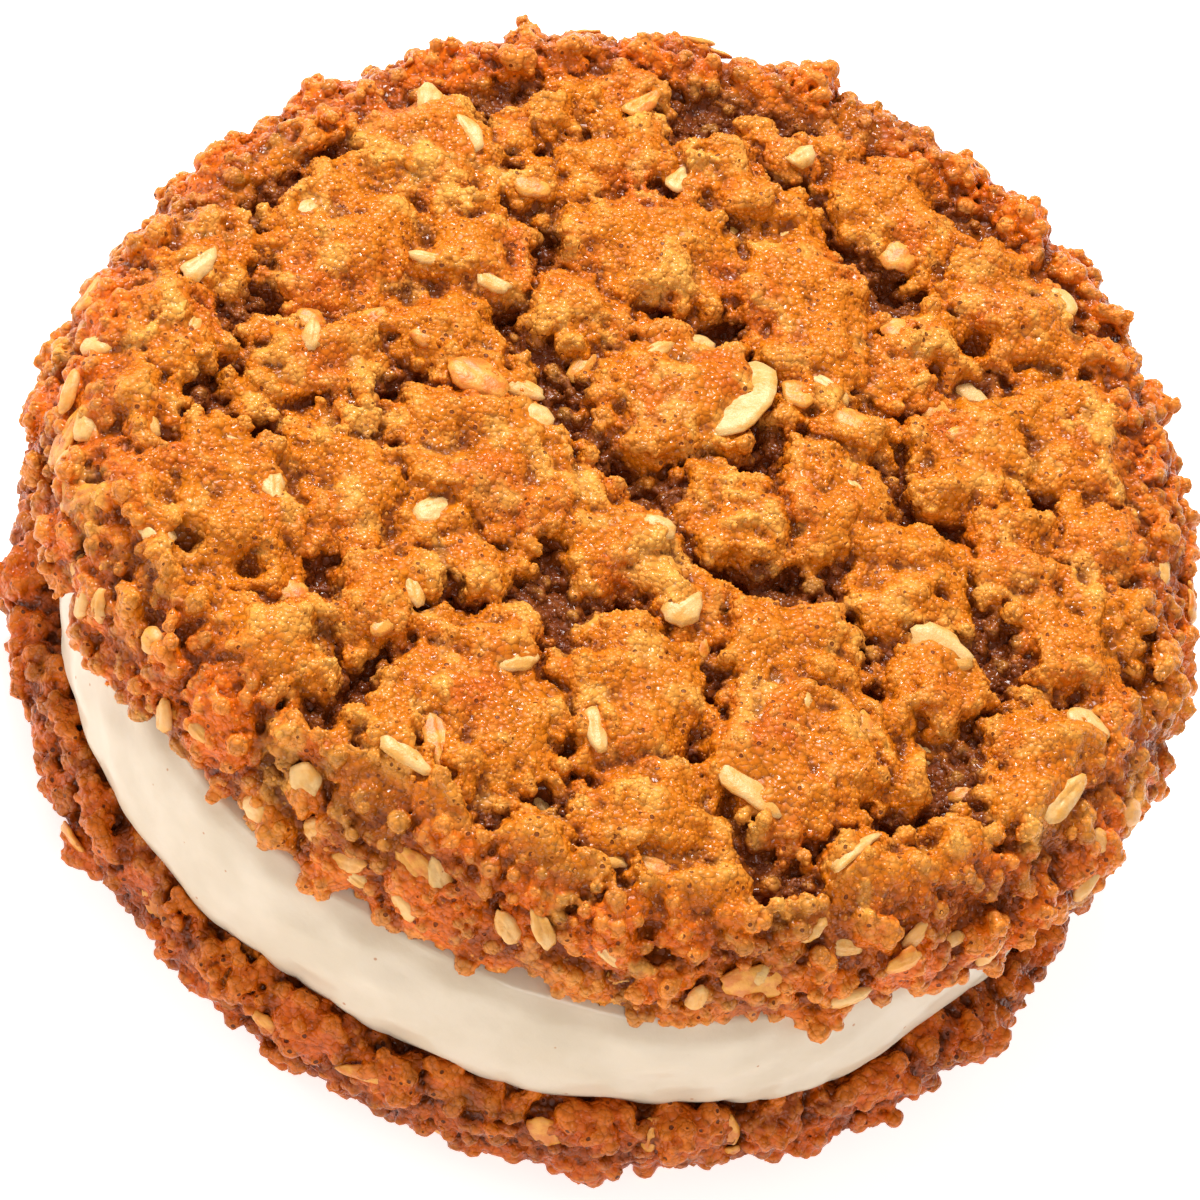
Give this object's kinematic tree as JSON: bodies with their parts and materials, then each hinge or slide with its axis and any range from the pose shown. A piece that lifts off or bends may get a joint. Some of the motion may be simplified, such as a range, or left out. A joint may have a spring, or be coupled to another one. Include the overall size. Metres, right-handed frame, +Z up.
{
  "type": "oatmeal cream pie",
  "caption": "Round sandwich of soft oatmeal cookies with cracked craggy crusts and oat flakes around a thick layer of vanilla cream.",
  "frame": {"origin": "middle of the flat spot under the lower cookie, where the pie rests", "axes": "+Z up through the stack of cookie, cream and cookie; -Y is the side nearest the camera in the picture; +X to the camera's right before its roll"},
  "size_m": [0.0754, 0.0761, 0.0298],
  "materials": {
    "top_crust": "baked crumb, rough, slightly moist in the cracks",
    "cream": "smooth whipped cream, satin",
    "bottom_crust": "baked crumb, rough, darker"
  },
  "bodies": {
    "root": {"cookie_top": "top_crust", "cream_filling": "cream", "cookie_bottom": "bottom_crust"}
  },
  "joints": []
}
